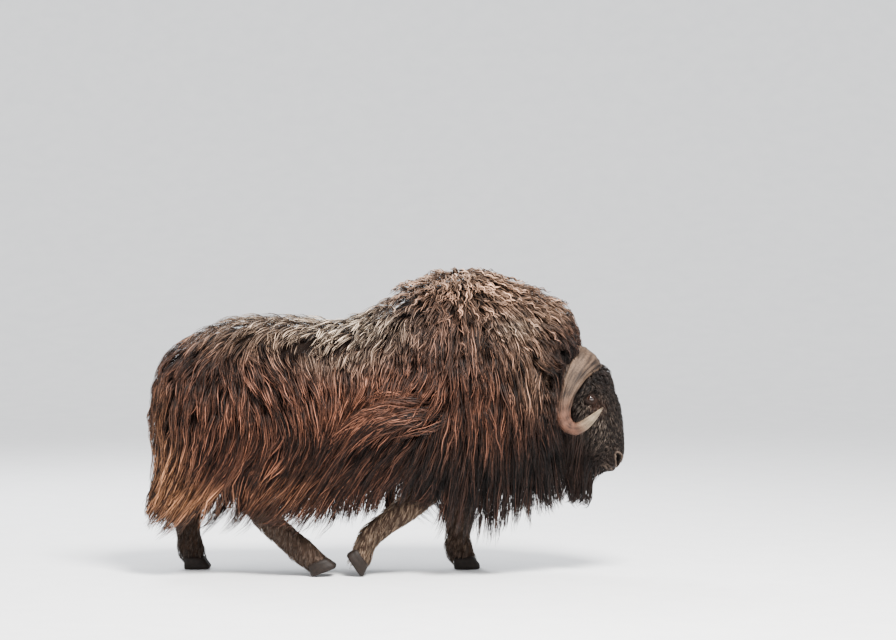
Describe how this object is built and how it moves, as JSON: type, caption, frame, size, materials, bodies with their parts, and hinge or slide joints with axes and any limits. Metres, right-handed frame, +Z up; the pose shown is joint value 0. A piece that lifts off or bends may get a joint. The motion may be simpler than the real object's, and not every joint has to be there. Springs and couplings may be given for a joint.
{
  "type": "muskox model",
  "caption": "Life-size muskox bull walking with its head low, in a long skirted coat of overlapping locks, with a broad horn boss and down-curved horns.",
  "frame": {"origin": "on the floor, under the middle of the bounding box", "axes": "+X the way the animal faces, +Y its left side, +Z up"},
  "size_m": [2.2564, 0.8244, 1.4135],
  "materials": {
    "mane": "dark brown mane",
    "eye": "wet gloss",
    "hoof": "dull dark horn",
    "leg": "short tan-brown fur",
    "face": "short near-black hair",
    "horn": "fibrous matte horn",
    "rump": "long red-brown guard hair",
    "hump": "long shaggy brown hair",
    "saddle": "long brown guard hair, paler along the back"
  },
  "bodies": {
    "root": {"ear_left": "mane", "ear_right": "mane", "eye_left": "eye", "eye_right": "eye", "fore_hoof_left_left_claw": "hoof", "fore_hoof_left_right_claw": "hoof", "fore_hoof_right_left_claw": "hoof", "fore_hoof_right_right_claw": "hoof", "fore_leg_left": "leg", "fore_leg_right": "leg", "head": "face", "hind_hoof_left_left_claw": "hoof", "hind_hoof_left_right_claw": "hoof", "hind_hoof_right_left_claw": "hoof", "hind_hoof_right_right_claw": "hoof", "hind_leg_left": "leg", "hind_leg_right": "leg", "horn_left": "horn", "horn_right": "horn", "neck": "mane", "tail": "rump", "torso_front": "hump", "torso_middle": "saddle", "torso_rear": "rump"}
  },
  "joints": []
}
